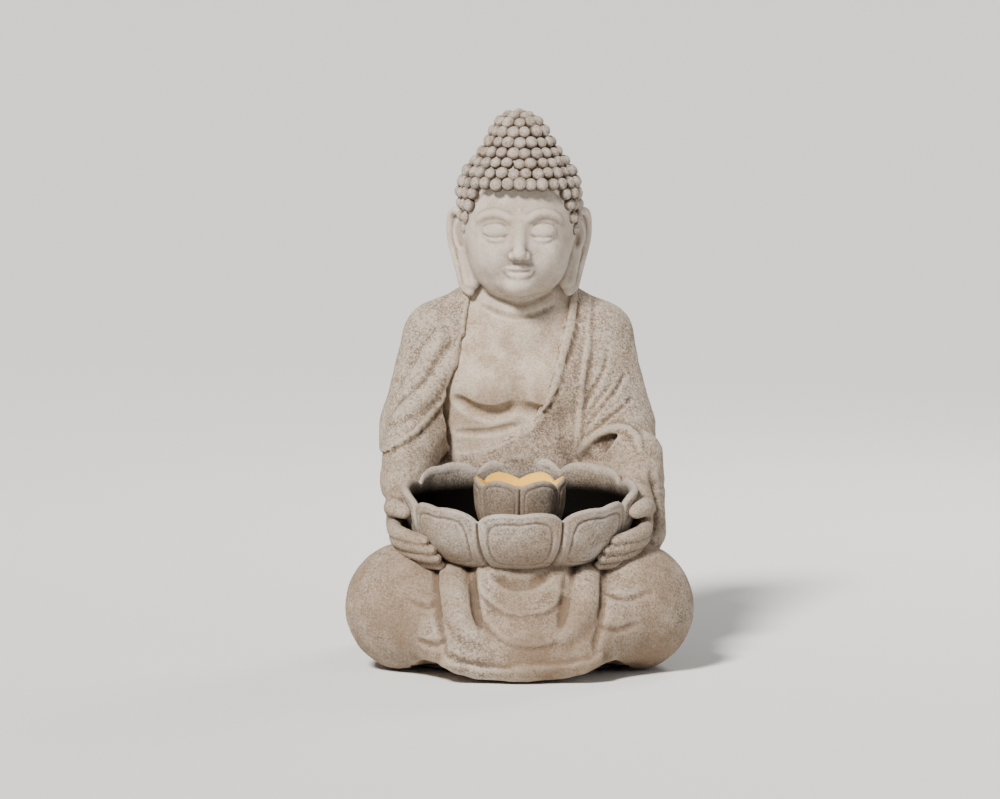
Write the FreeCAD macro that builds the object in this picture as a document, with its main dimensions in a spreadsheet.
"""Tabletop water fountain: a hollow cast seated figure that holds a lotus bowl.

The bowl is the water reservoir.  A small lotus cup stands in it over a submersible pump, and a light
ring lies in the cup's dish around the riser hose.  Row frame: +Z up, the figure faces -Y, the origin is
the bottom centre of the whole object.  All sizes are in millimetres.
"""

import FreeCAD
import Part
import Sketcher

import math
import os

from FreeCAD import Placement, Rotation, Vector

doc = FreeCAD.newDocument("Fountain")
sheet = doc.addObject("Spreadsheet::Sheet", "Sizes")

# Every driving dimension: alias, value, meaning.
SIZES = [
    # Seated figure, outside
    ("base_lift", 2.5, "gap under the casting, held by the rubber feet"),
    ("plinth_width", 100, "half width of the footing that the base cover closes"),
    ("plinth_depth", 118, "half depth of the footing"),
    ("plinth_back", 24, "y of the footing's middle"),
    ("plinth_tall", 34, "height of the footing"),
    ("plinth_corner", 72, "corner radius of the footing"),
    ("robe_out", 50, "x of the round ends of the robe behind the seat"),
    ("robe_back", 98, "y of the robe behind the seat"),
    ("robe_level", 47, "height of the robe behind the seat"),
    ("robe_radius", 49.5, "radius of the robe behind the seat"),
    ("torso_back", 90, "y of the torso's centre line"),
    ("belly_out", 29, "x of the belly's round ends"),
    ("belly_level", 127, "height of the belly"),
    ("belly_radius", 55, "radius of the belly"),
    ("waist_out", 31, "x of the waist's round ends"),
    ("waist_level", 166, "height of the waist"),
    ("waist_radius", 51, "radius of the waist"),
    ("collar_out", 38, "x of the collar's round ends"),
    ("collar_level", 236, "height of the collar"),
    ("collar_radius", 40, "radius of the collar"),
    ("chest_out", 35, "x of the chest's round ends"),
    ("chest_level", 206, "height of the chest"),
    ("chest_radius", 51, "radius of the chest"),
    ("shoulder_out", 64, "x of the shoulder"),
    ("shoulder_level", 256, "height of the shoulder"),
    ("shoulder_radius", 24, "radius of the shoulder"),
    ("neck_low", 262, "height of the neck's foot"),
    ("neck_radius", 27, "radius of the neck"),
    ("hem_out", 44, "x of the round ends of the robe's hem"),
    ("hem_back", -112, "y of the hem"),
    ("hem_level", 27, "height of the hem"),
    ("hem_radius", 35.5, "radius of the hem"),
    ("lap_width", 62, "half width of the lap between the thighs"),
    ("lap_front", -112, "y of the lap's front"),
    ("lap_rear", 84, "y of the lap's rear"),
    ("lap_level", 92, "height of the lap"),
    ("elbow_out", 84, "x of the elbow"),
    ("elbow_back", 62, "y of the elbow"),
    ("elbow_level", 176, "height of the elbow"),
    ("elbow_radius", 25, "radius of the sleeve at the elbow"),
    ("wrist_out", 92, "x of the wrist"),
    ("wrist_back", -26, "y of the wrist"),
    ("wrist_level", 134, "height of the wrist"),
    ("wrist_radius", 14, "radius of the wrist"),
    ("hand_out", 91, "x of the hand's centre"),
    ("hand_level", 120, "height of the hand"),
    ("hand_back", -46, "y of the hand's middle"),
    ("hand_long", 16, "half distance between the centres of the hand's round ends"),
    ("hand_radius", 15, "radius of the hand"),
    ("knee_out", 92, "x of the knee"),
    ("knee_back", -50, "y of the knee"),
    ("knee_level", 49, "height of knee and thigh"),
    ("knee_radius", 48, "radius of knee and thigh"),
    ("hip_out", 60, "x of the thigh's hidden end"),
    ("hip_back", 84, "y of the thigh's hidden end"),
    ("shin_out", 50, "x of the draped shin"),
    ("shin_radius", 17, "radius of the draped shin"),
    ("shin_foot_back", -108, "y of the shin's lower end"),
    ("shin_foot_level", 30, "height of the shin's lower end"),
    ("shin_top_back", -95, "y of the shin's upper end"),
    ("shin_top_level", 78, "height of the shin's upper end"),
    ("head_back", 74, "y of the head's centre"),
    ("head_level", 354, "height of the head's centre"),
    ("head_radius", 50, "radius of the head at the crown"),
    ("head_long", 10, "half distance between the centres of crown and jaw"),
    ("topknot_radius", 28, "radius of the topknot"),
    ("topknot_level", 422, "height of the topknot's centre"),
    ("ear_out", 47.5, "x of the ear"),
    ("ear_radius", 6.5, "radius of the ear lobe"),
    ("ear_long", 27, "half length of the ear between its round ends"),
    ("ear_level", 331, "height of the ear's middle"),
    # Seated figure, inside
    ("wall", 9, "wall of the figure casting"),
    ("shelf", 10, "lap shelf under the bowl"),
    ("head_wall", 14, "wall of the head"),
    ("neck_bore", 14, "radius of the hollow through the neck"),
    # Base closure
    ("cover_width", 88, "half width of the base cover"),
    ("cover_depth", 106, "half depth of the base cover"),
    ("cover_corner", 60, "corner radius of the base cover"),
    ("cover_thick", 4, "thickness of the base cover"),
    ("screw_out", 34, "x of the front and rear cover screws"),
    ("cover_gap", 0.5, "gap round the base cover"),
    ("ledge", 8, "width of the ledge that the cover screws to"),
    ("ledge_thick", 7.5, "thickness of that ledge"),
    ("screw_radius", 1.5, "radius of a cover screw"),
    ("screw_head", 3, "radius of a cover screw's head"),
    ("screw_long", 9, "length of a cover screw"),
    ("foot_radius", 10, "radius of a rubber foot"),
    ("foot_sunk", 1, "depth of a foot's seat in the cover"),
    ("foot_out", 54, "x of a rubber foot"),
    ("foot_apart", 68, "y of a rubber foot from the cover's centre"),
    # Cord gland
    ("gland_level", 26, "height of the cord gland"),
    ("gland_face", 140, "y of the flat that the gland seals on"),
    ("gland_pad", 12, "thickness of the wall at the gland"),
    ("gland_radius", 7, "radius of the gland's thread"),
    ("gland_bore", 2.75, "radius of the gland's bore"),
    ("gland_flange", 11, "radius of the gland's flange"),
    ("gland_flange_thick", 3, "thickness of the gland's flange"),
    ("gland_seal_thick", 1, "thickness of the gland's seal"),
    ("nut_across", 20, "width across the gland nut's corners"),
    ("nut_thick", 5, "thickness of the gland nut"),
    ("gland_clear", 0.2, "clearance round the gland's thread"),
    # Lotus bowl
    ("bowl_back", -50, "y of the bowl's axis"),
    ("bowl_foot_level", 86, "height of the bowl's foot"),
    ("bowl_foot", 46, "radius of the bowl's foot"),
    ("bowl_floor_level", 96, "height of the bowl's floor"),
    ("bowl_floor", 47, "radius of the bowl's floor"),
    ("bowl_side_level", 120, "height of the bowl's side"),
    ("bowl_side", 76, "outer radius of the bowl's side"),
    ("bowl_rim", 81, "outer radius of the bowl between two petals"),
    ("bowl_wall", 7, "wall of the bowl"),
    ("bowl_rim_level", 141, "height of the rim between petals, over the bowl's axis"),
    ("bowl_tilt", 8.5, "forward slope of the rim, in degrees"),
    ("bowl_petal", 37, "radius of a bowl petal"),
    ("bowl_petal_out", 58.5, "distance of a petal's centre from the bowl's axis"),
    ("bowl_petal_drop", 24, "depth of a petal's centre under the rim"),
    ("bowl_gap", 0.4, "bond gap between bowl and figure"),
    ("grommet_out", 40, "distance of the lead's grommet behind the bowl's axis"),
    ("grommet_radius", 4.5, "radius of the grommet's body"),
    ("grommet_flange", 6, "radius of the grommet's flange"),
    ("grommet_flange_thick", 1.6, "thickness of the grommet's flange"),
    # Lotus cup
    ("cup_clear", 1.1, "gap between the pump's corners and the cup's skirt"),
    ("cup_wall", 3.5, "wall of the cup's skirt"),
    ("cup_floor_level", 136.5, "height of the dish's floor"),
    ("cup_floor_thick", 4.5, "thickness of the dish's floor"),
    ("cup_dish", 30, "inner radius of the dish"),
    ("cup_rim", 34, "outer radius of the cup between two petals"),
    ("cup_rim_level", 150, "height of the cup's rim between petals"),
    ("cup_petal", 15.5, "radius of a cup petal"),
    ("cup_petal_out", 22, "distance of a cup petal's centre from the axis"),
    ("cup_petal_level", 144, "height of a cup petal's centre"),
    ("cup_notch_width", 13, "width of a water notch in the skirt's foot"),
    ("cup_notch_height", 16, "height of a water notch"),
    ("hose_clear", 0.6, "clearance of the hose in the dish's floor"),
    # Light ring
    ("ring_outer", 18, "outer radius of the light ring"),
    ("ring_inner", 8, "inner radius of the light ring"),
    ("ring_wall", 1.5, "wall of the light ring's housing"),
    ("ring_tall", 6, "height of the light ring's housing"),
    ("lens_thick", 3, "thickness of the light ring's lens"),
    ("board_thick", 1.2, "thickness of the light ring's board"),
    ("lamp_radius", 2.5, "radius of one lamp"),
    ("lamp_tall", 4, "height of one lamp above the board"),
    # Pump
    ("pump_width", 28, "width of the pump"),
    ("pump_above", 13.5, "height of the pump above its shaft"),
    ("pump_below", 16.5, "height of the pump below its shaft"),
    ("pump_wall", 1.5, "wall of the pump's housing"),
    ("motor_long", 16, "length of the motor housing"),
    ("volute_rear", 7, "volute's length behind the bowl's axis"),
    ("volute_front", 8, "volute's length before the bowl's axis"),
    ("strainer_long", 13, "length of the strainer"),
    ("well_radius", 7, "inner radius of the rotor well"),
    ("well_wall", 1.4, "wall of the rotor well"),
    ("well_deep", 13, "depth of the rotor well"),
    ("flange_thick", 3, "front wall of the motor housing"),
    ("chamber_radius", 10.5, "radius of the impeller chamber"),
    ("blade_clear", 1.7, "gap between the blades and the impeller chamber"),
    ("blade_thick", 1.2, "thickness of a blade"),
    ("hub_radius", 3.2, "radius of the impeller's hub and stem"),
    ("magnet_clear", 0.7, "gap between the rotor magnet and the rotor well"),
    ("shaft_radius", 1, "radius of the ceramic shaft"),
    ("shaft_clear", 0.05, "running clearance of the rotor on its shaft"),
    ("bush_radius", 2.6, "radius of a shaft bush"),
    ("bush_long", 1.5, "length of a shaft bush"),
    ("inlet_radius", 1.6, "radius of an inlet hole in the volute"),
    ("inlet_circle", 5.6, "radius of the circle of inlet holes"),
    ("dial_radius", 8, "radius of the flow dial's disc"),
    ("dial_thick", 2, "thickness of the flow dial's disc"),
    ("dial_stem", 2, "radius of the flow dial's stem"),
    ("dial_grip", 4, "radius of the flow dial's grip"),
    ("dial_grip_long", 3, "length of the flow dial's grip"),
    ("dial_clear", 0.25, "clearance round the flow dial"),
    ("seal_circle", 12, "radius of the volute seal's circle"),
    ("seal_radius", 0.75, "radius of the volute seal's section"),
    ("spigot_radius", 4.6, "radius of the outlet spigot"),
    ("spigot_bore", 3.2, "radius of the outlet's bore"),
    ("spigot_long", 7, "length of the outlet spigot"),
    ("hose_wall", 1.3, "wall of the riser hose"),
    ("hose_long", 16, "length of the riser hose"),
    ("nozzle_head_tall", 3, "height of the jet nozzle's head"),
    ("sucker_radius", 5, "radius of a suction cup"),
    ("sucker_tall", 4, "height of a suction cup"),
    ("sucker_stem", 1.4, "radius of a suction cup's stem"),
    ("sucker_stem_long", 1.1, "length of the stem in the housing"),
    ("slip", 0.05, "gap between pieces that are pushed together by hand"),
    ("core_gap", 0.5, "potting's depth round the stator core"),
    ("core_long", 9, "length of the stator core"),
    ("core_leg", 7, "height of the stator core's legs over the shaft"),
    ("impeller_hub_long", 13.2, "length of the impeller's hub and stem"),
    ("dial_pin", 1.2, "radius of the hole that the flow dial turns in"),
    ("nozzle_neck", 5, "length of the nozzle inside the hose"),
    ("plug_clear", 0.3, "clearance round the light ring's plug"),
    ("plug_long", 7, "length of the light ring's plug"),
    ("lead_drop", 7, "depth of the pump's lead under the shaft"),
    ("lead_clear", 1.2, "clearance of the pump's lead in the lap"),
    ("screw_head_tall", 2, "height of a cover screw's head"),
    ("plug_radius", 2.5, "radius of the light ring's plug"),
    ("plug_socket_deep", 5, "depth of the light ring's socket"),
    ("lead_radius", 1.6, "radius of the pump's lead"),
    ("ring_lead_radius", 1.2, "radius of the light ring's lead"),
    ("coupler_radius", 8, "radius of the lead coupler"),
    ("coupler_long", 30, "length of the lead coupler"),
    ("coupler_back", 62, "y of the lead coupler's near end"),
]
PETALS_BOWL = 8
PETALS_CUP = 6
LAMPS = 6
BLADES = 6
INLETS = 4

for row, (alias, value, meaning) in enumerate(SIZES, start=1):
    sheet.set(f"A{row}", meaning)
    sheet.set(f"B{row}", str(value))
    sheet.setAlias(f"B{row}", alias)
doc.recompute()


probe = doc.addObject("App::FeaturePython", "Probe")
probe.addProperty("App::PropertyFloat", "Value")


def bind(obj, **expressions):
    """Ties properties to expressions over the sheet; a double underscore stands for a dot."""
    for name, text in expressions.items():
        obj.setExpression(name.replace("__", "."), cells(text))
    return obj


ALIASES = {alias for alias, _, _ in SIZES}


def cells(text):
    """Prefixes every alias in an expression with the sheet's name."""
    out, word = "", ""
    for mark in str(text) + " ":
        if mark.isalnum() or mark == "_":
            word += mark
            continue
        out += f"Sizes.{word}" if word in ALIASES else word
        out, word = out + mark, ""
    return out.strip()


def at(obj, x=0, y=0, z=0):
    """Ties an object's position to expressions over the sheet."""
    return bind(obj, Placement__Base__x=x, Placement__Base__y=y, Placement__Base__z=z)


# ---------------------------------------------------------------- primitives and booleans


def sphere(name, radius, x=0, y=0, z=0):
    return at(bind(doc.addObject("Part::Sphere", name), Radius=radius), x, y, z)


def cylinder(name, radius, height, x=0, y=0, z=0, along="z"):
    """A cylinder that starts at a point and runs along +x, +y or +z."""
    rod = bind(doc.addObject("Part::Cylinder", name), Radius=radius, Height=height)
    turns = {"z": Rotation(), "y": Rotation(Vector(1, 0, 0), -90), "x": Rotation(Vector(0, 1, 0), 90)}
    rod.Placement = Placement(Vector(), turns[along])
    return at(rod, x, y, z)


def box(name, length, width, height, x=0, y=0, z=0):
    """A box that is centred on x and starts at y and z."""
    block = doc.addObject("Part::Box", name)
    bind(block, Length=length, Width=width, Height=height)
    return at(block, f"{x} - ({length}) / 2", y, z)


def rounded_plate(name, half_width, half_depth, corner, thick, y, z):
    """A flat plate with rounded corners, centred on x."""
    wide, deep, radius = number(half_width), number(half_depth), number(corner)
    signs = [(1, 1), (-1, 1), (-1, -1), (1, -1)]
    arcs, ends = [], []
    for quarter, (right, rear) in enumerate(signs):
        centre = Vector(right * (wide - radius), rear * (deep - radius), 0)
        angles = [math.radians(90 * quarter + 45 * step) for step in range(3)]
        start, middle, end = (centre + Vector(math.cos(a), math.sin(a), 0) * radius for a in angles)
        arcs.append(Part.Arc(start, middle, end).toShape())
        ends.append((start, end))
    sides = [Part.makeLine(ends[i][1], ends[(i + 1) % 4][0]) for i in range(4)]
    edges = [edge for pair in zip(arcs, sides) for edge in pair]
    plate = doc.addObject("Part::Feature", name)
    plate.Shape = Part.Face(Part.Wire(edges)).extrude(Vector(0, 0, number(thick)))
    return at(plate, 0, y, z)


def limb(name, start, start_radius, end, end_radius):
    """A tapered limb with round ends, turned round its own axis; the points are triples of expressions."""
    first, last = (Vector(*[number(text) for text in point]) for point in (start, end))
    low, high, long = number(start_radius), number(end_radius), first.distanceToPoint(last)
    lean = math.asin((low - high) / long)
    slant = Vector(math.cos(lean), 0, math.sin(lean))
    middle_low = Vector(math.cos((lean - math.pi / 2) / 2), 0, math.sin((lean - math.pi / 2) / 2))
    middle_high = Vector(math.cos((lean + math.pi / 2) / 2), 0, math.sin((lean + math.pi / 2) / 2))
    far = Vector(0, 0, long)
    edges = [
        Part.Arc(Vector(0, 0, -low), middle_low * low, slant * low).toShape(),
        Part.makeLine(slant * low, far + slant * high),
        Part.Arc(far + slant * high, far + middle_high * high, far + Vector(0, 0, high)).toShape(),
        Part.makeLine(far + Vector(0, 0, high), Vector(0, 0, -low)),
    ]
    made = doc.addObject("Part::Feature", name)
    made.Shape = Part.Face(Part.Wire(edges)).revolve(Vector(), Vector(0, 0, 1), 360)
    made.Placement = Placement(first, Rotation(Vector(0, 0, 1), last - first))
    return made


def number(text):
    """The value of an expression over the sheet."""
    probe.setExpression("Value", cells(text))
    probe.recompute()
    return probe.Value


def fuse(name, pieces):
    joined = doc.addObject("Part::MultiFuse", name)
    joined.Shapes, joined.Refine = pieces, False
    return joined


def cut(name, base, tool):
    rest = doc.addObject("Part::Cut", name)
    rest.Base, rest.Tool, rest.Refine = base, tool, False
    return rest


def common(name, base, tool):
    kept = doc.addObject("Part::Common", name)
    kept.Base, kept.Tool, kept.Refine = base, tool, False
    return kept


# ---------------------------------------------------------------- sketched bodies


class Sketched:
    """A PartDesign body whose sketches lie on its own origin planes."""

    def __init__(self, label):
        self.body = doc.addObject("PartDesign::Body", label)
        self.body.Label = label
        self.planes = {f.Role: f for f in self.body.Origin.OriginFeatures}
        self.count = 0

    def sketch(self, plane="XY_Plane", offset="0"):
        self.count += 1
        sketch = self.body.newObject("Sketcher::SketchObject", f"{self.body.Name}_sketch_{self.count}")
        sketch.AttachmentSupport = [(self.planes[plane], "")]
        sketch.MapMode = "FlatFace"
        return bind(sketch, AttachmentOffset__Base__z=offset)

    def feature(self, kind, sketch, **settings):
        self.count += 1
        made = self.body.newObject(f"PartDesign::{kind}", f"{self.body.Name}_{kind.lower()}_{self.count}")
        if sketch is not None:
            made.Profile = sketch
        for name, value in settings.items():
            if isinstance(value, str) and name in ("Length", "Angle", "Radius", "Size"):
                made.setExpression(name, cells(value))
            else:
                setattr(made, name, value)
        self.body.Tip = made
        doc.recompute()
        return made

    def pad(self, sketch, length, **settings):
        return self.feature("Pad", sketch, Length=length, **settings)

    def revolve(self, sketch):
        return self.feature("Revolution", sketch, ReferenceAxis=(sketch, ["V_Axis"]), Angle="360")

    def ring_of(self, feature, count, axis="Z_Axis"):
        """Repeats a feature round an axis of the body."""
        self.count += 1
        made = self.body.newObject("PartDesign::PolarPattern", f"{self.body.Name}_pattern_{self.count}")
        made.Originals = [feature]
        made.Axis = (self.planes[axis], [""])
        made.Angle, made.Occurrences = 360, count
        self.body.Tip = made
        doc.recompute()
        return made

    def place(self, x=0, y=0, z=0, turn=None):
        if turn is not None:
            self.body.Placement = Placement(Vector(), turn)
        at(self.body, x, y, z)
        return self.body


def fix(sketch, geometry, point, x, y):
    """Ties one point of a sketch's geometry to two expressions."""
    for kind, text in (("DistanceX", x), ("DistanceY", y)):
        value = number(text)
        index = sketch.addConstraint(Sketcher.Constraint(kind, -1, 1, geometry, point, value))
        sketch.setExpression(f"Constraints[{index}]", cells(text))


def circle(sketch, radius, x="0", y="0"):
    centre = Vector(number(x), number(y), 0)
    index = sketch.addGeometry(Part.Circle(centre, Vector(0, 0, 1), number(radius)), False)
    held = sketch.addConstraint(Sketcher.Constraint("Radius", index, number(radius)))
    sketch.setExpression(f"Constraints[{held}]", cells(radius))
    fix(sketch, index, 3, x, y)
    return sketch


def outline(sketch, points):
    """A closed polygon through points that are pairs of expressions."""
    places = [Vector(number(x), number(y), 0) for x, y in points]
    first = None
    for index, start in enumerate(places):
        line = sketch.addGeometry(Part.LineSegment(start, places[(index + 1) % len(places)]), False)
        first = line if first is None else first
        if index:
            sketch.addConstraint(Sketcher.Constraint("Coincident", line - 1, 2, line, 1))
    sketch.addConstraint(Sketcher.Constraint("Coincident", first + len(places) - 1, 2, first, 1))
    for index, (x, y) in enumerate(points):
        fix(sketch, first + index, 1, x, y)
    return sketch


def rectangle(sketch, low_x, low_y, high_x, high_y):
    return outline(sketch, [(low_x, low_y), (high_x, low_y), (high_x, high_y), (low_x, high_y)])


subparts = []


def keep(piece):
    """Marks an object as a sub-part; its label names its file."""
    subparts.append(piece)


# Heights and places that several pieces share.
SHAFT = "(bowl_floor_level + sucker_tall + pump_below)"
PUMP_FOOT = "(bowl_floor_level + sucker_tall)"
PUMP_TOP = f"({SHAFT} + pump_above)"
CUP_UNDER = "(cup_floor_level - cup_floor_thick)"
PUMP_REACH = "max(volute_rear + motor_long; volute_front + strainer_long)"
SKIRT_INSIDE = f"(sqrt(pump_width * pump_width / 4 + {PUMP_REACH} * {PUMP_REACH}) + cup_clear)"
CUP_SKIRT = f"({SKIRT_INSIDE} + cup_wall)"
HOSE_RADIUS = "(spigot_radius + hose_wall)"
HOSE_TOP = f"({PUMP_TOP} + hose_long)"
RING_TOP = "(cup_floor_level + ring_tall)"
LAMP_CIRCLE = "((ring_inner + ring_outer) / 2)"
PLUG_BACK = f"(bowl_back + {LAMP_CIRCLE})"
MOTOR_FRONT = "(bowl_back + volute_rear)"
MOTOR_REAR = "(bowl_back + volute_rear + motor_long)"
VOLUTE_FRONT = "(bowl_back - volute_front)"
STRAINER_FRONT = "(bowl_back - volute_front - strainer_long)"
COVER_TOP = "(base_lift + cover_thick)"
LEDGE_TOP = "(base_lift + cover_thick + ledge_thick)"


def turned(label, profile, x=0, y=0, z=0, along="z"):
    """A body turned round its own axis; the profile is (radius, distance along the axis) pairs."""
    made = Sketched(label)
    made.revolve(outline(made.sketch("XZ_Plane"), profile))
    turns = {"z": Rotation(), "y": Rotation(Vector(1, 0, 0), -90)}
    return made.place(x, y, z, turns[along])


def ring(label, inner, outer, low, high, x=0, y=0, z=0, along="z"):
    """A flat or tubular ring with a square section."""
    corners = [(inner, low), (outer, low), (outer, high), (inner, high)]
    return turned(label, corners, x, y, z, along)


# ---------------------------------------------------------------- lotus bowl


def bowl_envelope(name, gap):
    """The turned shape that the bowl's petals stay in, grown by a gap."""
    lean = [
        (0, f"bowl_foot_level - ({gap})"),
        (f"bowl_foot + {gap}", f"bowl_foot_level - ({gap})"),
        (f"bowl_side - 10 + {gap}", "bowl_floor_level + 2"),
        (f"bowl_rim + 4 + {gap}", "bowl_side_level - 4"),
        (f"bowl_petal_out + bowl_petal + 2 + {gap}", "bowl_side_level + 14"),
        (f"bowl_petal_out + bowl_petal + 2 + {gap}", "bowl_rim_level + bowl_petal + 20"),
        (0, "bowl_rim_level + bowl_petal + 20"),
    ]
    return turned(name, lean, y="bowl_back")


def petal_balls(name, count, radius, out, level, slope=0, turn=0.0):
    """Balls in a circle round the bowl's axis; a slope lowers the front ones."""
    balls = []
    for index in range(count):
        angle = math.radians(turn + 360 * index / count)
        side, rear = math.sin(angle), -math.cos(angle)
        height = f"{level} + ({rear:.6f}) * ({out}) * tan({slope})"
        x, y = f"({side:.6f}) * ({out})", f"bowl_back + ({rear:.6f}) * ({out})"
        balls.append(sphere(f"{name}_{index + 1}", radius, x, y, height))
    return balls


def lotus_bowl():
    core = [
        (0, "bowl_foot_level"),
        ("bowl_foot", "bowl_foot_level"),
        ("bowl_side - 12", "bowl_floor_level + 2"),
        ("bowl_side", "bowl_side_level"),
        ("bowl_rim", "bowl_rim_level"),
        ("bowl_rim", "bowl_rim_level + 30"),
        (0, "bowl_rim_level + 30"),
    ]
    above = doc.addObject("Part::Box", "bowl_rim_cutter")
    above.Placement = Placement(Vector(), Rotation(Vector(1, 0, 0), number("bowl_tilt")))
    bind(above, Length="4 * bowl_rim", Width="4 * bowl_rim", Height="2 * bowl_petal")
    at(
        above,
        "-2 * bowl_rim",
        "bowl_back - 2 * bowl_rim * cos(bowl_tilt)",
        "bowl_rim_level - 2 * bowl_rim * sin(bowl_tilt)",
    )
    middle = cut("bowl_middle", turned("bowl_core", core, y="bowl_back"), above)
    level = "(bowl_rim_level - bowl_petal_drop)"
    petals = petal_balls("bowl_petal_ball", PETALS_BOWL, "bowl_petal", "bowl_petal_out", level, "bowl_tilt")
    outside = common("bowl_outside", fuse("bowl_solid", [middle, *petals]), bowl_envelope("bowl_limit", "0"))
    inside = [
        (0, "bowl_floor_level"),
        ("bowl_floor", "bowl_floor_level"),
        ("bowl_side - bowl_wall", "bowl_side_level"),
        ("bowl_rim - bowl_wall", "bowl_rim_level"),
        ("bowl_rim - bowl_wall", "bowl_rim_level + 2 * bowl_petal"),
        (0, "bowl_rim_level + 2 * bowl_petal"),
    ]
    hole = cylinder("bowl_grommet_hole", "grommet_radius", 60, 0, "bowl_back + grommet_out",
                    "bowl_foot_level - 30")
    removed = fuse("bowl_removed", [turned("bowl_inside", inside, y="bowl_back"), hole])
    return cut("lotus_bowl", outside, removed)


# ---------------------------------------------------------------- lotus cup and its light ring


def lotus_cup():
    core = [
        (0, "bowl_floor_level"),
        (CUP_SKIRT, "bowl_floor_level"),
        (CUP_SKIRT, "cup_floor_level - 8"),
        ("cup_rim", "cup_rim_level"),
        (0, "cup_rim_level"),
    ]
    core = turned("cup_core", core, y="bowl_back")
    half_turn = 180 / PETALS_CUP
    petals = petal_balls("cup_petal_ball", PETALS_CUP, "cup_petal", "cup_petal_out", "cup_petal_level",
                         0, half_turn)
    solid = fuse("cup_solid", [core, *petals])
    skirt_tall = f"{CUP_UNDER} - bowl_floor_level + 1"
    hose_hole = f"{HOSE_RADIUS} + hose_clear"
    notch = ["cup_notch_width", f"3 * {CUP_SKIRT}", "cup_notch_height + 1"]
    tools = [
        cylinder("cup_dish_space", "cup_dish", "cup_petal * 3", 0, "bowl_back", "cup_floor_level"),
        cylinder("cup_pump_space", SKIRT_INSIDE, skirt_tall, 0, "bowl_back", "bowl_floor_level - 1"),
        cylinder("cup_hose_hole", hose_hole, "3 * cup_floor_thick", 0, "bowl_back", f"{CUP_UNDER} - 1"),
        cylinder("cup_plug_hole", "plug_radius + plug_clear", "3 * cup_floor_thick", 0, PLUG_BACK,
                 f"{CUP_UNDER} - 1"),
        box("cup_notches_front", *notch, y=f"bowl_back - 1.5 * {CUP_SKIRT}", z="bowl_floor_level - 1"),
        box("cup_notches_side", notch[1], notch[0], notch[2], y="bowl_back - cup_notch_width / 2",
            z="bowl_floor_level - 1"),
    ]
    return cut("lotus_cup", solid, fuse("cup_removed", tools))


def light_ring():
    made = []
    inner, outer, wall = "ring_inner", "ring_outer", "ring_wall"
    channel = [
        (inner, 0),
        (outer, 0),
        (outer, "ring_tall"),
        (f"{outer} - {wall}", "ring_tall"),
        (f"{outer} - {wall}", wall),
        (f"{inner} + {wall}", wall),
        (f"{inner} + {wall}", "ring_tall"),
        (inner, "ring_tall"),
    ]
    channel = turned("ring_channel", channel, y="bowl_back", z="cup_floor_level")
    exit_hole = cylinder("ring_lead_hole", "ring_lead_radius", "3 * ring_wall", 0, PLUG_BACK,
                         "cup_floor_level - 1")
    made.append(cut("ring_housing", channel, exit_hole))
    board = [f"{inner} + {wall} + slip", f"{outer} - {wall} - slip", wall, f"{wall} + board_thick"]
    made.append(ring("ring_board", *board, y="bowl_back", z="cup_floor_level"))
    lens = [
        (inner, 0),
        (f"{inner} + {wall}", 0),
        (f"{inner} + {wall}", "lens_thick - ring_wall"),
        (f"{outer} - {wall}", "lens_thick - ring_wall"),
        (f"{outer} - {wall}", 0),
        (outer, 0),
        (outer, "lens_thick"),
        (inner, "lens_thick"),
    ]
    made.append(turned("ring_lens", lens, y="bowl_back", z=RING_TOP))
    for index in range(LAMPS):
        angle = math.radians(360 * (index + 0.5) / LAMPS)
        side, rear = f"({math.sin(angle):.6f}) * {LAMP_CIRCLE}", f"({-math.cos(angle):.6f}) * {LAMP_CIRCLE}"
        stand = f"cup_floor_level + {wall} + board_thick"
        shoulder = "lamp_tall - lamp_radius / 2"
        profile = [(0, 0), ("lamp_radius", 0), ("lamp_radius", shoulder), ("lamp_radius / 2", "lamp_tall"),
                   (0, "lamp_tall")]
        made.append(turned(f"lamp_{index + 1}", profile, side, f"bowl_back + {rear}", stand))
    plug_tip = f"{PUMP_TOP} - plug_socket_deep + slip"
    plug = [
        (0, 0),
        ("plug_radius - 0.5", 0),
        ("plug_radius", 0.5),
        ("plug_radius", "plug_long"),
        (0, "plug_long"),
    ]
    made.append(turned("ring_plug", plug, 0, PLUG_BACK, plug_tip))
    lead_low = f"({plug_tip} + plug_long)"
    lead_long = f"cup_floor_level + {wall} - {lead_low}"
    made.append(cylinder("ring_lead", "ring_lead_radius", lead_long, 0, PLUG_BACK, lead_low))
    return made


# ---------------------------------------------------------------- pump


def pump_block(name, front, rear, shrink="0"):
    """A block of the pump's outline between two y planes, made smaller all round by a wall."""
    height = f"pump_above + pump_below - 2 * ({shrink})"
    width = f"pump_width - 2 * ({shrink})"
    return box(name, width, f"({rear}) - ({front})", height, y=front, z=f"{PUMP_FOOT} + {shrink}")


def along_shaft(name, radius, front, rear):
    """A cylinder round the pump's shaft between two y planes."""
    return cylinder(name, radius, f"({rear}) - ({front})", 0, front, SHAFT, "y")


def sucker_places():
    backs = f"{VOLUTE_FRONT} + {SUCKER_IN}", f"{MOTOR_REAR} - {SUCKER_IN}"
    return [(side, back) for back in backs for side in (-SUCKER_SIDE, SUCKER_SIDE)]


def sucker_holes(name, places):
    holes = []
    for index, (side, back) in enumerate(places):
        deep = "sucker_stem_long + 1"
        holes.append(cylinder(f"{name}_{index + 1}", "sucker_stem", deep, side, back, f"{PUMP_FOOT} - 1"))
    return holes


WELL_END = f"({MOTOR_FRONT} + well_deep)"
FLANGE_REAR = f"({MOTOR_FRONT} + flange_thick)"
CHAMBER_FRONT = f"({VOLUTE_FRONT} + pump_wall)"
LEAD_LEVEL = f"({SHAFT} - lead_drop)"
SUCKER_SIDE = 8.5
SUCKER_IN = 5.5


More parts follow.
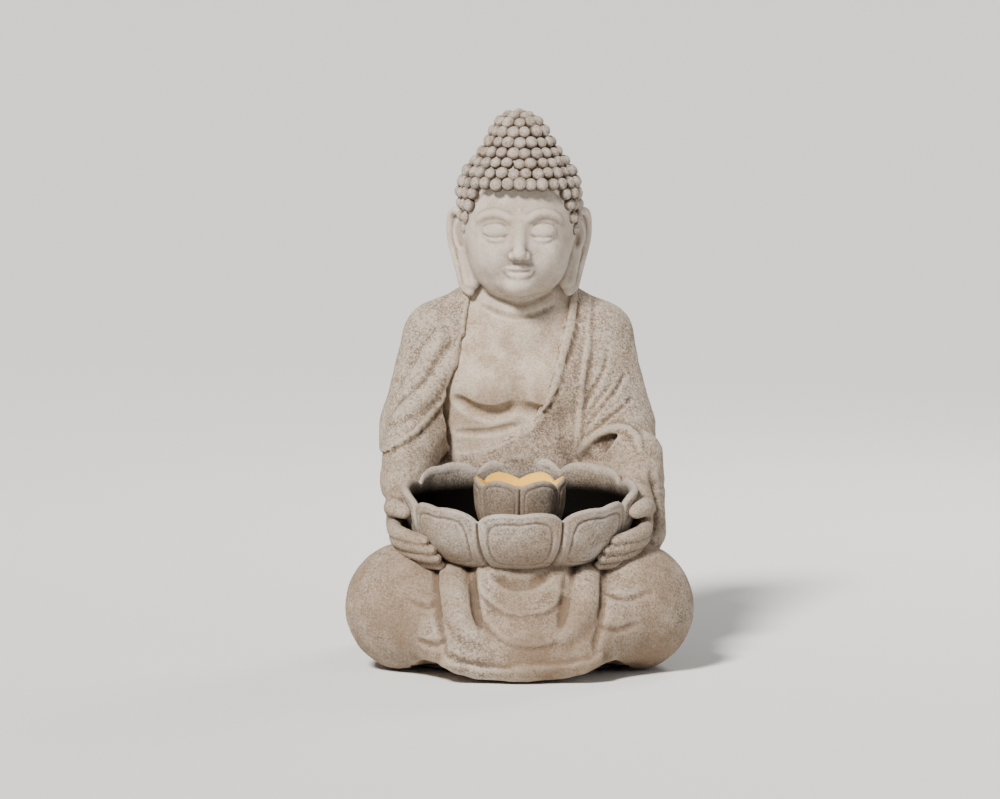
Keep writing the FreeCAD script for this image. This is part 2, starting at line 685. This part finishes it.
def motor_housing():
    rear = f"{MOTOR_REAR} + 1"
    space = pump_block("motor_space", FLANGE_REAR, rear, "pump_wall")
    well = along_shaft("motor_well", "well_radius + well_wall", FLANGE_REAR, f"{WELL_END} + well_wall")
    socket_wall = "plug_radius + plug_clear + pump_wall"
    boss = cylinder("motor_socket_boss", socket_wall, "pump_above - pump_wall / 2", 0, PLUG_BACK, SHAFT)
    hollow = cut("motor_hollow", space, fuse("motor_kept", [well, boss]))
    bore = along_shaft("motor_bore", "well_radius", f"{MOTOR_FRONT} - 1", WELL_END)
    seat = ring("motor_bush_seat", "bush_radius", "bush_radius + pump_wall", "-bush_long", 0.5, 0,
                WELL_END, SHAFT, "y")
    shell = cut("motor_shell", pump_block("motor_block", MOTOR_FRONT, MOTOR_REAR),
                fuse("motor_cuts", [hollow, bore]))
    shell = fuse("motor_with_seat", [shell, seat])
    deep = "plug_socket_deep + 1"
    socket_low = f"{PUMP_TOP} - plug_socket_deep"
    socket = cylinder("motor_socket", "plug_radius + plug_clear", deep, 0, PLUG_BACK, socket_low)
    feet = sucker_holes("motor_foot_hole", sucker_places()[2:])
    return cut("motor_housing", shell, fuse("motor_holes", [socket, *feet]))


def stator():
    """A U-shaped laminated core round the rotor well, with its coil on the yoke, and the potting."""
    leg_in, leg_out = "(well_radius + well_wall + core_gap)", "(pump_width / 2 - pump_wall - core_gap)"
    yoke_low, yoke_high = "-(pump_below - pump_wall - 1.7)", "-(pump_below - pump_wall - 4.5)"
    outline_points = [
        (f"-{leg_out}", yoke_low),
        (leg_out, yoke_low),
        (leg_out, "core_leg"),
        (leg_in, "core_leg"),
        (leg_in, yoke_high),
        (f"-{leg_in}", yoke_high),
        (f"-{leg_in}", "core_leg"),
        (f"-{leg_out}", "core_leg"),
    ]
    core = Sketched("stator_core")
    core.pad(outline(core.sketch("XZ_Plane"), outline_points), "core_long", Reversed=True)
    core = core.place(0, f"{FLANGE_REAR} + core_gap", SHAFT)
    coil_low, coil_high = "-(pump_below - pump_wall - 0.2)", "-(well_radius + well_wall + 0.2)"
    coil = Sketched("stator_coil")
    shape = coil.sketch("YZ_Plane", f"-({leg_in} - 0.3)")
    rectangle(shape, "-0.8 * core_gap", coil_low, "core_long + 0.8 * core_gap", coil_high)
    rectangle(shape, "-slip", f"{yoke_low} - slip", "core_long + slip", f"{yoke_high} + slip")
    coil.pad(shape, f"2 * ({leg_in} - 0.3)")
    coil = coil.place(0, f"{FLANGE_REAR} + core_gap", SHAFT)
    fill = pump_block("potting_block", FLANGE_REAR, MOTOR_REAR, "pump_wall + slip")
    well = along_shaft("potting_well", "well_radius + well_wall + slip", f"{FLANGE_REAR} - 1",
                       f"{WELL_END} + well_wall")
    boss_radius = "plug_radius + plug_clear + pump_wall + slip"
    boss = cylinder("potting_boss", boss_radius, "pump_above + 1", 0, PLUG_BACK, SHAFT)
    pocket = pump_block("potting_pocket", f"{FLANGE_REAR} - 1",
                        f"{FLANGE_REAR} + core_long + 2 * core_gap", "pump_wall - 1")
    lead = cylinder("potting_lead", "lead_radius", "2 * pump_wall", 0, f"{MOTOR_REAR} - pump_wall",
                    LEAD_LEVEL, "y")
    potting = cut("motor_potting", fill, fuse("potting_cuts", [well, boss, pocket, lead]))
    return [core, coil, potting]




def volute():
    chamber = along_shaft("volute_chamber", "chamber_radius", CHAMBER_FRONT, f"{MOTOR_FRONT} + 1")
    outlet = cylinder("volute_outlet", "spigot_bore", "pump_above + spigot_long + 1", 0, "bowl_back", SHAFT)
    groove = ring(
        "volute_groove", "seal_circle - seal_radius", "seal_circle + seal_radius", "-seal_radius", 1,
        0, MOTOR_FRONT, SHAFT, "y",
    )
    inlets = []
    for index in range(INLETS):
        angle = math.radians(45 + 360 * index / INLETS)
        x, z = f"{math.cos(angle):.6f} * inlet_circle", f"{SHAFT} + ({math.sin(angle):.6f}) * inlet_circle"
        inlets.append(cylinder(f"volute_inlet_{index + 1}", "inlet_radius", 5, x, f"{VOLUTE_FRONT} - 1",
                               z, "y"))
    pin = along_shaft("volute_pin_hole", "dial_pin", f"{VOLUTE_FRONT} - 1", f"{VOLUTE_FRONT} + pump_wall / 2")
    spigot = cylinder("volute_spigot", "spigot_radius", "spigot_long", 0, "bowl_back", PUMP_TOP)
    block = fuse("volute_block", [pump_block("volute_box", VOLUTE_FRONT, MOTOR_FRONT), spigot])
    feet = sucker_holes("volute_foot_hole", sucker_places()[:2])
    shell = cut("volute_shell", block, fuse("volute_cuts", [chamber, outlet, groove, pin, *inlets, *feet]))
    seat = ring("volute_bush_seat", "bush_radius", "bush_radius + 1.2", -0.5, "bush_long", 0,
                CHAMBER_FRONT, SHAFT, "y")
    return fuse("volute", [shell, seat])


def strainer():
    slots = []
    for index in range(5):
        level = f"{PUMP_FOOT} + pump_wall + 2.5 + {5.2 * index:.1f}"
        name = f"strainer_slot_{index + 1}"
        slots.append(box(name, "pump_width + 2", "strainer_long - 6", 2.2, y=f"{STRAINER_FRONT} + 3",
                         z=level))
        for side in (-1, 1):
            part = box(f"{name}_front_{side + 2}", 6, 5, 2.2, y=f"{STRAINER_FRONT} - 1", z=level)
            slots.append(at(part, f"{side} * {SUCKER_SIDE} - 3", f"{STRAINER_FRONT} - 1", level))
    space = pump_block("strainer_space", f"{STRAINER_FRONT} + pump_wall", f"{VOLUTE_FRONT} + 1", "pump_wall")
    stem = along_shaft("strainer_stem_hole", "dial_stem + dial_clear", f"{STRAINER_FRONT} - 1", VOLUTE_FRONT)
    block = pump_block("strainer_block", STRAINER_FRONT, VOLUTE_FRONT)
    return cut("strainer", block, fuse("strainer_cuts", [space, stem, *slots]))


def foam_filter():
    front, rear = f"{STRAINER_FRONT} + pump_wall + slip", f"{VOLUTE_FRONT} - dial_thick - 2 * dial_clear"
    stem = along_shaft("foam_stem_hole", "dial_stem + 2 * dial_clear", f"{STRAINER_FRONT} - 1", VOLUTE_FRONT)
    return cut("foam_filter", pump_block("foam_block", front, rear, "pump_wall + slip"), stem)


def flow_dial():
    """A shutter disc over the volute's inlets; its stem comes out through the strainer to a grip."""
    stem_long = "strainer_long - dial_thick - dial_clear"
    grip_at = f"(dial_thick + {stem_long} + dial_clear)"
    profile = [
        (0, "-pump_wall / 3"),
        ("dial_pin - dial_clear / 2", "-pump_wall / 3"),
        ("dial_pin - dial_clear / 2", "dial_clear"),
        ("dial_radius", "dial_clear"),
        ("dial_radius", "dial_clear + dial_thick"),
        ("dial_stem", "dial_clear + dial_thick"),
        ("dial_stem", grip_at),
        ("dial_grip", grip_at),
        ("dial_grip", f"{grip_at} + dial_grip_long"),
        (0, f"{grip_at} + dial_grip_long"),
    ]
    body = Sketched("dial_turned")
    body.revolve(outline(body.sketch("XZ_Plane"), profile))
    body = body.place(0, VOLUTE_FRONT, SHAFT, Rotation(Vector(1, 0, 0), 90))
    holes = []
    for index in range(INLETS):
        angle = math.radians(45 + 360 * index / INLETS)
        x, z = f"{math.cos(angle):.6f} * inlet_circle", f"{SHAFT} + ({math.sin(angle):.6f}) * inlet_circle"
        start = f"{VOLUTE_FRONT} - dial_thick - 2"
        holes.append(cylinder(f"dial_hole_{index + 1}", "inlet_radius", "dial_thick + 3", x, start, z, "y"))
    end = f"{STRAINER_FRONT} - dial_clear - dial_grip_long - 1"
    pointer = box("dial_slot", "2 * dial_grip + 2", 2, 1.2, y=end, z=f"{SHAFT} - 0.6")
    return cut("flow_dial", body, fuse("dial_cuts", [*holes, pointer]))


def impeller():
    """Straight blades on a back plate, with the stem that carries the magnet."""
    bore = "shaft_radius + shaft_clear"
    blades_front = f"({CHAMBER_FRONT} + bush_long + 0.4)"
    plate_rear = f"({MOTOR_FRONT} - 0.6)"
    hub = Sketched("impeller")
    hub_shape = circle(hub.sketch("XZ_Plane"), "hub_radius")
    hub.pad(circle(hub_shape, bore), "impeller_hub_long", Reversed=True)
    blade = hub.sketch("XZ_Plane")
    rectangle(blade, "hub_radius - 0.4", "-blade_thick / 2", "chamber_radius - blade_clear",
              "blade_thick / 2")
    pad = hub.pad(blade, f"{plate_rear} - {blades_front}", Reversed=True)
    hub.ring_of(pad, BLADES, "Y_Axis")
    plate = hub.sketch("XZ_Plane", f"-({plate_rear} - {blades_front} - 1)")
    circle(circle(plate, "chamber_radius - blade_clear"), "hub_radius - 0.2")
    hub.pad(plate, "1", Reversed=True)
    return hub.place(0, blades_front, SHAFT)


def rotor_parts():
    blades_front = f"({CHAMBER_FRONT} + bush_long + 0.4)"
    bore, magnet_front = "shaft_radius + shaft_clear", f"({blades_front} + impeller_hub_long)"
    magnet_rear = f"({WELL_END} - bush_long - 0.4)"
    magnet_radius, magnet_long = "well_radius - magnet_clear", f"{magnet_rear} - {magnet_front}"
    magnet = ring("rotor_magnet", bore, magnet_radius, 0, magnet_long, 0, magnet_front, SHAFT, "y")
    front_bush = ring("bush_front", "shaft_radius", "bush_radius", 0, "bush_long", 0, CHAMBER_FRONT,
                      SHAFT, "y")
    rear_bush = ring("bush_rear", "shaft_radius", "bush_radius", 0, "bush_long", 0,
                     f"{WELL_END} - bush_long", SHAFT, "y")
    return [magnet, along_shaft("rotor_shaft", "shaft_radius", CHAMBER_FRONT, WELL_END), front_bush,
            rear_bush]


def suction_cups():
    made = []
    profile = [
        (0, "sucker_tall / 3"),
        ("sucker_radius", 0),
        ("sucker_radius - 0.4", "sucker_tall / 5"),
        ("sucker_radius / 2", "0.7 * sucker_tall"),
        ("sucker_radius / 2", "sucker_tall"),
        ("sucker_stem", "sucker_tall"),
        ("sucker_stem", "sucker_tall + sucker_stem_long"),
        (0, "sucker_tall + sucker_stem_long"),
    ]
    for index, (side, back) in enumerate(sucker_places()):
        made.append(turned(f"suction_cup_{index + 1}", profile, side, back, "bowl_floor_level"))
    return made


def riser():
    hose = ring("riser_hose", "spigot_radius", HOSE_RADIUS, 0, "hose_long", 0, "bowl_back", PUMP_TOP)
    throat = "spigot_bore * 0.6"
    profile = [
        (throat, "-nozzle_neck"),
        ("spigot_radius", "-nozzle_neck"),
        ("spigot_radius", 0),
        (HOSE_RADIUS, 0),
        (HOSE_RADIUS, "nozzle_head_tall - 1"),
        (f"{HOSE_RADIUS} - 1.5", "nozzle_head_tall"),
        (throat, "nozzle_head_tall"),
    ]
    return [hose, turned("jet_nozzle", profile, 0, "bowl_back", HOSE_TOP)]


# ---------------------------------------------------------------- base closure, gland and leads


def ledge_points():
    """Places of the cover screws, on the middle of the ledge."""
    side, end = "(cover_width - ledge / 2)", "(cover_depth - ledge / 2)"
    places = [(f"{s} * {side}", "plinth_back") for s in (-1, 1)]
    places += [(f"{s} * screw_out", f"plinth_back + ({t}) * {end}") for t in (-1, 1) for s in (-1, 1)]
    return places


def foot_points():
    return [(f"{s} * foot_out", f"plinth_back + ({t}) * foot_apart") for t in (-1, 1) for s in (-1, 1)]


def base_cover():
    outline_sizes = ["cover_width", "cover_depth", "cover_corner"]
    plate = rounded_plate("cover_plate", *outline_sizes, "cover_thick", "plinth_back", "base_lift")
    cradle_tall = f"gland_level - {COVER_TOP}"
    pieces, tools = [plate], []
    for index in range(2):
        back = f"coupler_back + {6 + 14 * index}"
        pieces.append(box(f"cover_cradle_{index + 1}", "2 * coupler_radius + 5", 4, cradle_tall, y=back,
                          z=COVER_TOP))
    near = "coupler_back - 1"
    tools.append(cylinder("cover_saddle", "coupler_radius + slip", "coupler_long + 2", 0, near,
                          "gland_level", "y"))
    for index, (x, y) in enumerate(foot_points()):
        name = f"cover_foot_seat_{index + 1}"
        tools.append(cylinder(name, "foot_radius + slip", "foot_sunk + 1", x, y, "base_lift - 1"))
    for index, (x, y) in enumerate(ledge_points()):
        tools.append(cylinder(f"cover_screw_hole_{index + 1}", "screw_radius", 10, x, y, "base_lift - 2"))
        head = "screw_head_tall + 1"
        tools.append(cylinder(f"cover_head_seat_{index + 1}", "screw_head", head, x, y, "base_lift - 1"))
    return cut("base_cover", fuse("cover_solid", pieces), fuse("cover_cuts", tools))


def cover_screws():
    screws = []
    for index, (x, y) in enumerate(ledge_points()):
        shank = cylinder(f"screw_shank_{index + 1}", "screw_radius", "screw_long", x, y,
                         "base_lift + screw_head_tall")
        head = cylinder(f"screw_head_{index + 1}", "screw_head", "screw_head_tall", x, y, "base_lift")
        slot = box(f"screw_slot_{index + 1}", "screw_head * 1.5", 0.8, 1, y=f"{y} - 0.4", z="base_lift - 0.2")
        at(slot, f"{x} - 0.75 * screw_head", f"{y} - 0.4", "base_lift - 0.2")
        screws.append(cut(f"screw_{index + 1}", fuse(f"screw_solid_{index + 1}", [shank, head]), slot))
    group = doc.addObject("Part::Compound", "cover_screws")
    group.Links = screws
    return group


def feet():
    profile = [
        (0, 0),
        ("foot_radius - 1", 0),
        ("foot_radius", 1),
        ("foot_radius", "base_lift + foot_sunk"),
        (0, "base_lift + foot_sunk"),
    ]
    return [turned(f"foot_{i + 1}", profile, x, y) for i, (x, y) in enumerate(foot_points())]


def gland():
    """A cable gland through the back wall: flange and seal outside, nut inside."""
    seal_back, inner = "-gland_seal_thick", "-(gland_seal_thick + gland_pad + nut_thick + 3)"
    profile = [
        ("gland_bore", inner),
        ("gland_radius", inner),
        ("gland_radius", 0),
        ("gland_flange", 0),
        ("gland_flange", "gland_flange_thick - 1"),
        ("gland_flange - 1", "gland_flange_thick"),
        ("gland_bore", "gland_flange_thick"),
    ]
    face = "gland_face + gland_seal_thick"
    body = turned("cord_gland", profile, 0, face, "gland_level", "y")
    seal = ring("gland_seal", "gland_radius + slip", "gland_flange", seal_back, 0, 0, face,
                "gland_level", "y")
    nut = Sketched("gland_nut")
    corners = []
    for index in range(6):
        angle = math.radians(60 * index)
        corners.append((f"({math.cos(angle):.6f}) * nut_across / 2",
                        f"({math.sin(angle):.6f}) * nut_across / 2"))
    shape = outline(nut.sketch("XZ_Plane"), corners)
    nut.pad(circle(shape, "gland_radius + slip"), "nut_thick")
    nut = nut.place(0, "gland_face - gland_pad", "gland_level")
    return [body, seal, nut]


def coupler():
    """A waterproof lead coupler; its rear socket takes the cord from the gland."""
    socket = "coupler_long - 12"
    profile = [
        (0, 0),
        ("coupler_radius - 2", 0),
        ("coupler_radius", 3),
        ("coupler_radius", "coupler_long"),
        ("gland_bore + slip", "coupler_long"),
        ("gland_bore + slip", socket),
        (0, socket),
    ]
    body = turned("lead_coupler", profile, 0, "coupler_back", "gland_level", "y")
    low, high = "coupler_long + 0.05", "coupler_long + 6"
    collar = ring("coupler_collar", "gland_bore + 1", "coupler_radius + 1.5", low, high, 0,
                  "coupler_back", "gland_level", "y")
    return [body, collar]


def tube(label, radius, route):
    """A round lead along straight runs joined by tangent arcs, each as large as its two runs allow."""
    points = [Vector(*[number(value) for value in point]) for point in route]
    edges, start, radii = [], points[0], []
    for before, corner, after in zip(points, points[1:], points[2:]):
        into, out = (corner - before).normalize(), (after - corner).normalize()
        turn = into.getAngle(out)
        reach = 0.45 * min(before.distanceToPoint(corner), corner.distanceToPoint(after))
        arc_radius = reach / math.tan(turn / 2)
        first, last = corner - into * reach, corner + out * reach
        middle = corner + (out - into).normalize() * arc_radius * (1 / math.cos(turn / 2) - 1)
        edges += [Part.LineSegment(start, first).toShape(), Part.Arc(first, middle, last).toShape()]
        start = last
        radii.append(arc_radius)
    edges.append(Part.LineSegment(start, points[-1]).toShape())
    path = Part.Wire(edges)
    section = Part.Wire(Part.makeCircle(number(radius), points[0], points[1] - points[0]))
    lead = doc.addObject("Part::Feature", label)
    lead.Shape = path.makePipeShell([section], True, False)
    expected = path.Length * math.pi * number(radius) ** 2
    print(f"{label}: length {path.Length:.1f}, radii {[round(r, 1) for r in radii]}, "
          f"volume {lead.Shape.Volume:.0f} against {expected:.0f}")
    return lead


def pump_lead():
    grommet_back = "bowl_back + grommet_out"
    drop = "7"
    return tube("pump_lead", "lead_radius", [
        (0, f"{MOTOR_REAR} - pump_wall + slip", LEAD_LEVEL),
        (0, f"{grommet_back} - {drop}", LEAD_LEVEL),
        (0, grommet_back, f"{LEAD_LEVEL} - {drop}"),
        (0, grommet_back, 66),
        (0, f"{grommet_back} + 14", 44),
        (0, f"{grommet_back} + 42", 30),
        (0, f"coupler_back - 18", "gland_level"),
        (0, "coupler_back", "gland_level"),
    ])


def lead_grommet():
    profile = [
        ("lead_radius", f"-(bowl_floor_level - bowl_foot_level)"),
        ("grommet_radius", f"-(bowl_floor_level - bowl_foot_level)"),
        ("grommet_radius", 0),
        ("grommet_flange", 0),
        ("grommet_flange", "grommet_flange_thick"),
        ("lead_radius", "grommet_flange_thick"),
    ]
    return turned("lead_grommet", profile, 0, "bowl_back + grommet_out", "bowl_floor_level")


# ---------------------------------------------------------------- figure


def across(name, out, back, level, radius):
    """A limb from the left side to the right side."""
    return limb(name, (f"-{out}", back, level), radius, (out, back, level), radius)


def trunk(name, shrink):
    """Torso, seat, thighs, hem and lap, made smaller all round by a wall."""
    pieces = [
        across(f"{name}_robe", "robe_out", "robe_back", "robe_level", f"robe_radius - {shrink}"),
        across(f"{name}_belly", "belly_out", "torso_back", "belly_level", f"belly_radius - {shrink}"),
        across(f"{name}_waist", "waist_out", "torso_back", "waist_level", f"waist_radius - {shrink}"),
        across(f"{name}_chest", "chest_out", "torso_back", "chest_level", f"chest_radius - {shrink}"),
        across(f"{name}_hem", "hem_out", "hem_back", "hem_level", f"hem_radius - {shrink}"),
    ]
    low = f"(base_lift + {shrink})"
    lap_size = [f"2 * lap_width - 2 * {shrink}", f"lap_rear - lap_front - 2 * {shrink}",
                f"lap_level - {shrink} - {low}"]
    pieces.append(box(f"{name}_lap", *lap_size, y=f"lap_front + {shrink}", z=low))
    for side, word in ((-1, "left"), (1, "right")):
        hip = (f"{side} * hip_out", "hip_back", "knee_level")
        knee = (f"{side} * knee_out", "knee_back", "knee_level")
        radius = f"knee_radius - {shrink}"
        pieces.append(limb(f"{name}_thigh_{word}", hip, radius, knee, radius))
    return pieces


def head(name, shrink):
    jaw, crown = (0, "head_back", "head_level - head_long"), (0, "head_back", "head_level + head_long")
    return limb(name, jaw, f"head_radius - 5 - {shrink}", crown, f"head_radius - {shrink}")


def figure_solid():
    plinth = ["plinth_width", "plinth_depth", "plinth_corner", "plinth_tall", "plinth_back", "base_lift"]
    pieces = [*trunk("body", 0), rounded_plate("plinth", *plinth)]
    pieces.append(across("shoulders", "shoulder_out", "torso_back", "shoulder_level", "shoulder_radius"))
    pieces.append(across("collar", "collar_out", "torso_back", "collar_level", "collar_radius"))
    for side, word in ((-1, "left"), (1, "right")):

        def point(out, back, level):
            return (f"{side} * {out}", back, level)

        shin_low = point("shin_out", "shin_foot_back", "shin_foot_level")
        shin_high = point("shin_out", "shin_top_back", "shin_top_level")
        shoulder = point("shoulder_out", "torso_back - 1", "shoulder_level")
        elbow = point("elbow_out", "elbow_back", "elbow_level")
        wrist = point("wrist_out", "wrist_back", "wrist_level")
        fingers = point("hand_out", "hand_back - hand_long", "hand_level")
        heel = point("hand_out", "hand_back + hand_long", "hand_level + 3")
        ear_low = point("ear_out", "head_back + 2", "ear_level - ear_long")
        ear_high = point("ear_out", "head_back + 4", "ear_level + ear_long")
        pieces += [
            limb(f"shin_{word}", shin_low, "shin_radius", shin_high, "shin_radius"),
            limb(f"upper_arm_{word}", shoulder, "shoulder_radius - 1", elbow, "elbow_radius"),
            limb(f"forearm_{word}", elbow, "elbow_radius - 4", wrist, "wrist_radius"),
            limb(f"hand_{word}", fingers, "hand_radius", heel, "hand_radius"),
            limb(f"ear_{word}", ear_low, "ear_radius", ear_high, "ear_radius - 1"),
        ]
    pieces += [head("head", 0), sphere("topknot", "topknot_radius", 0, "head_back + 2", "topknot_level")]
    neck_tall = "head_level - neck_low"
    pieces.append(cylinder("neck", "neck_radius", neck_tall, 0, "head_back + 6", "neck_low"))
    return fuse("figure_solid", pieces)


def figure_hollow():
    """The inside of the casting, from the ledge to the head, clear of the bowl and of the gland's pad."""
    inset = ["plinth_width - wall", "plinth_depth - wall", "plinth_corner - wall"]
    footing = rounded_plate("footing_hollow", *inset, f"plinth_tall - {LEDGE_TOP}", "plinth_back", LEDGE_TOP)
    under = box("hollow_limit", 400, 400, LEDGE_TOP, y=-200, z=0)
    seat = bowl_envelope("bowl_seat_wall", "shelf")
    pad = cylinder("gland_boss", "gland_flange + 3", "2 * gland_pad", 0, "gland_face - gland_pad",
                   "gland_level", "y")
    spaces = fuse("body_spaces", [*trunk("inner", "wall"), footing])
    body = cut("body_hollow", spaces, fuse("body_kept", [seat, pad, under]))
    throat = cylinder("neck_hollow", "neck_bore", "head_level - chest_level", 0, "head_back + 6",
                      "chest_level")
    return fuse("figure_hollow", [body, head("head_hollow", "head_wall"), throat])


def figure_casting():
    below = box("figure_floor_cutter", 400, 400, 60, y=-200, z="base_lift - 60")
    recess_sizes = [f"cover_{name} + cover_gap" for name in ("width", "depth", "corner")]
    recess = rounded_plate("base_recess", *recess_sizes, "cover_thick + 1", "plinth_back", "base_lift - 1")
    opening_sizes = [f"cover_{name} - ledge" for name in ("width", "depth", "corner")]
    opening = rounded_plate("base_opening", *opening_sizes, "3 * ledge_thick", "plinth_back", "base_lift - 1")
    flat = cylinder("gland_flat", "gland_flange + 1", 30, 0, "gland_face", "gland_level", "y")
    thread = ["gland_radius + gland_clear", "gland_pad + 20", 0, "gland_face - gland_pad - 10",
              "gland_level", "y"]
    lead_hole = ["lead_radius + lead_clear", "3 * shelf", 0, "bowl_back + grommet_out",
                 "bowl_foot_level - 2 * shelf"]
    tools = [
        figure_hollow(),
        bowl_envelope("bowl_seat", "bowl_gap"),
        below,
        recess,
        opening,
        flat,
        cylinder("gland_thread_hole", *thread),
        cylinder("figure_lead_hole", *lead_hole),
    ]
    for index, (x, y) in enumerate(ledge_points()):
        deep = "screw_head_tall + screw_long + slip"
        tools.append(cylinder(f"pilot_hole_{index + 1}", "screw_radius + slip", deep, x, y, "base_lift"))
    return cut("figure_casting", figure_solid(), fuse("figure_cuts", tools))


# ---------------------------------------------------------------- assembly and export

for piece in [lotus_bowl(), lotus_cup(), *light_ring()]:
    keep(piece)
for piece in [motor_housing(), *stator(), volute(), strainer(), foam_filter(), flow_dial(), impeller()]:
    keep(piece)
seal = ["seal_circle - seal_radius", "seal_circle + seal_radius", "-seal_radius + slip", 0]
keep(ring("volute_seal", *seal, 0, MOTOR_FRONT, SHAFT, "y"))
for piece in [*rotor_parts(), *suction_cups(), *riser()]:
    keep(piece)
for piece in [base_cover(), cover_screws(), *feet(), *gland(), *coupler(), pump_lead(), lead_grommet()]:
    keep(piece)
keep(figure_casting())
doc.removeObject("Probe")
doc.recompute()

for obj in doc.Objects:
    if "Invalid" in obj.State or "Error" in obj.State:
        raise RuntimeError(f"{obj.Name} failed: {obj.State}")
os.makedirs("parts", exist_ok=True)
for obj in subparts:
    if obj.Shape.isNull() or not obj.Shape.isValid():
        raise RuntimeError(f"{obj.Label} has no valid shape")
    obj.Shape.exportStep(f"parts/{obj.Label}.step")
    room = obj.Shape.BoundBox
    print(f"{obj.Label:16s} solids {len(obj.Shape.Solids)}  x {room.XMin:7.1f} {room.XMax:7.1f}"
          f"  y {room.YMin:7.1f} {room.YMax:7.1f}  z {room.ZMin:7.1f} {room.ZMax:7.1f}")
